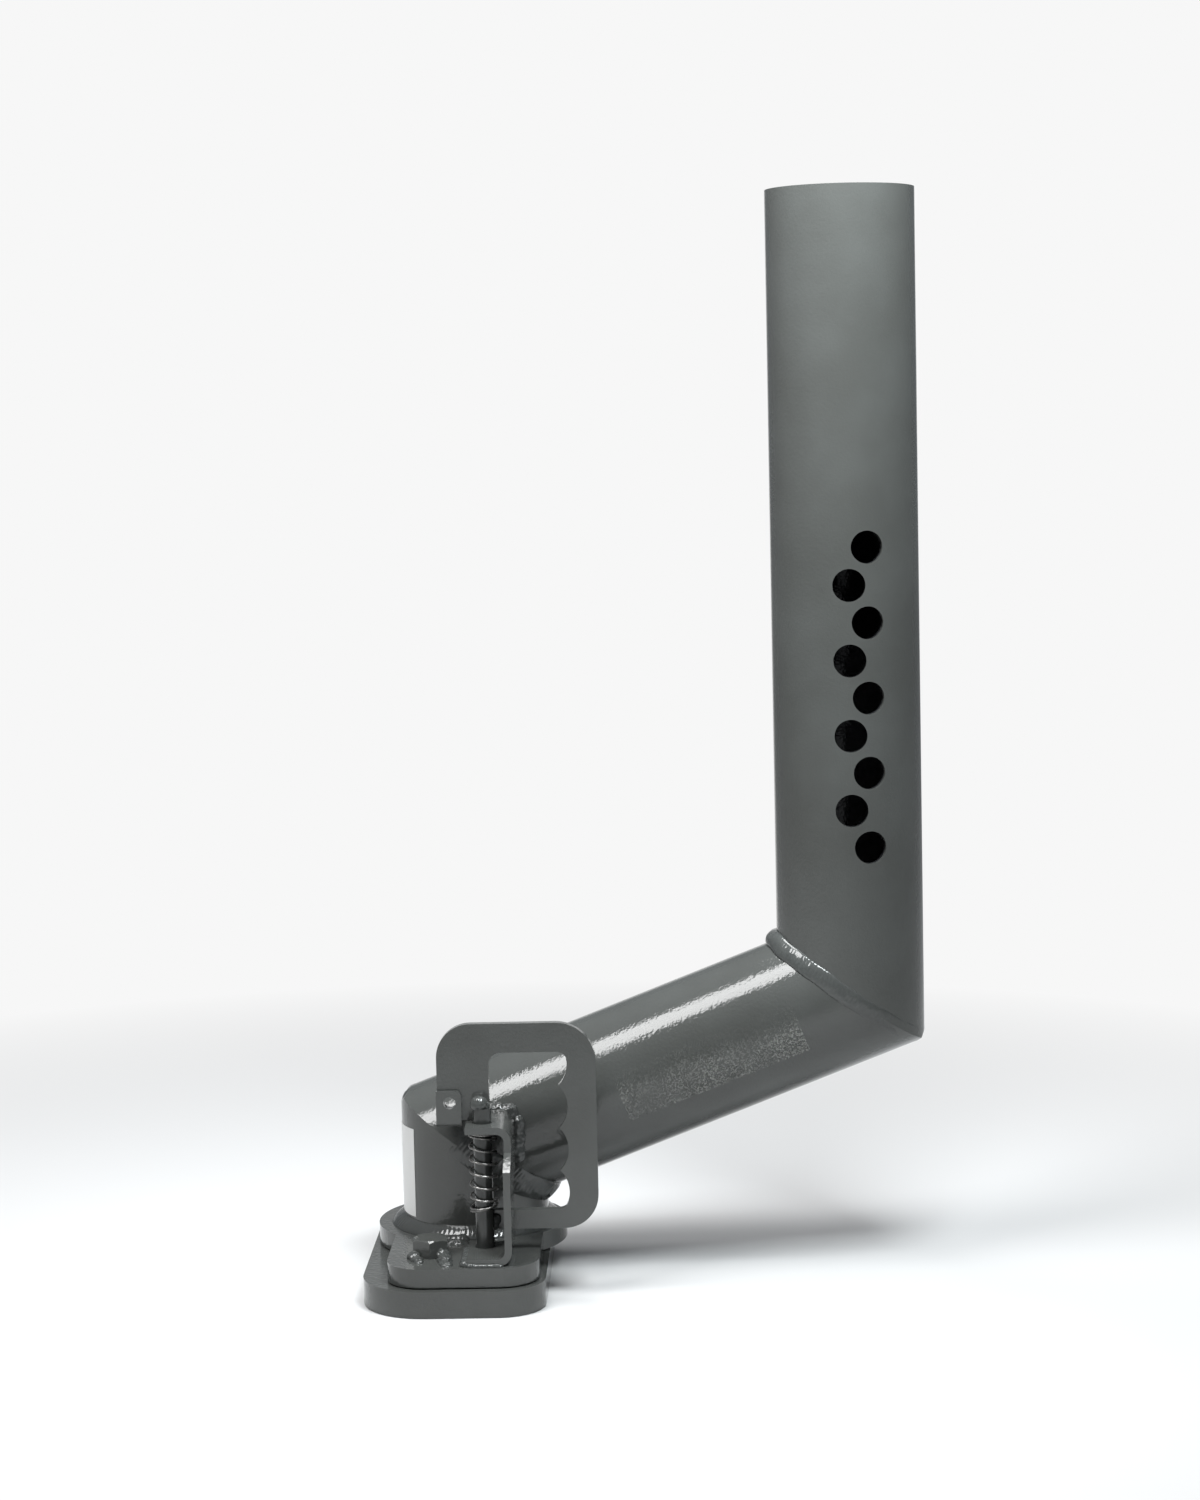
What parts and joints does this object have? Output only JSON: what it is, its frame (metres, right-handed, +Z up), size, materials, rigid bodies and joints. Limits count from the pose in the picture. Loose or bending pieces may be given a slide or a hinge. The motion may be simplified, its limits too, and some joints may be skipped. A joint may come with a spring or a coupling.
{
  "type": "gooseneck coupler",
  "caption": "Offset gooseneck trailer coupler: mitred steel tubes, ball socket, swinging lock plate and a spring-loaded latch pin with a pull handle.",
  "frame": {"origin": "ball axis at the underside of the flange plate", "axes": "+Z up along the ball axis, +X from the socket towards the shank, the latch handle faces -Y"},
  "size_m": [0.3874, 0.2035, 0.7402],
  "materials": {
    "grey_paint": "gloss",
    "bare_steel": "machined",
    "dark_steel": "oiled",
    "clear_film": "satin",
    "white_label": "satin"
  },
  "bodies": {
    "frame": {"shank_tube": "grey_paint", "neck_tube": "grey_paint", "socket_tube": "grey_paint", "upper_joint_weld": "grey_paint", "lower_joint_weld": "grey_paint", "flange_plate": "grey_paint", "flange_weld": "grey_paint", "ball_socket": "bare_steel", "pivot_bolt": "grey_paint", "pivot_bolt_weld": "grey_paint", "pivot_bushing": "bare_steel", "pivot_washer": "bare_steel", "pivot_nut": "bare_steel", "latch_spring": "dark_steel", "latch_bracket": "grey_paint", "bracket_tube_weld": "grey_paint", "bracket_foot_weld": "grey_paint", "lock_ear": "grey_paint", "lock_ear_weld": "grey_paint", "neck_film": "clear_film", "socket_label": "white_label"},
    "latch": {"latch_pin": "dark_steel", "handle_plate": "grey_paint", "pin_top_weld": "grey_paint", "pin_lower_weld": "grey_paint"},
    "lock": {"lock_plate": "grey_paint"}
  },
  "joints": [
    {"name": "latch_lift", "type": "slide", "parent": "frame", "child": "latch", "axis": [0, 0, 1], "range_m": [0, 0.022], "stiffness_N_per_m": 900, "springref_m": -0.02, "deforming": ["latch_spring"]},
    {"name": "lock_swing", "type": "hinge", "parent": "frame", "child": "lock", "pos_m": [-0.0223, -0.0945, 0], "axis": [0, 0, -1], "range_deg": [0, 18.2]}
  ]
}
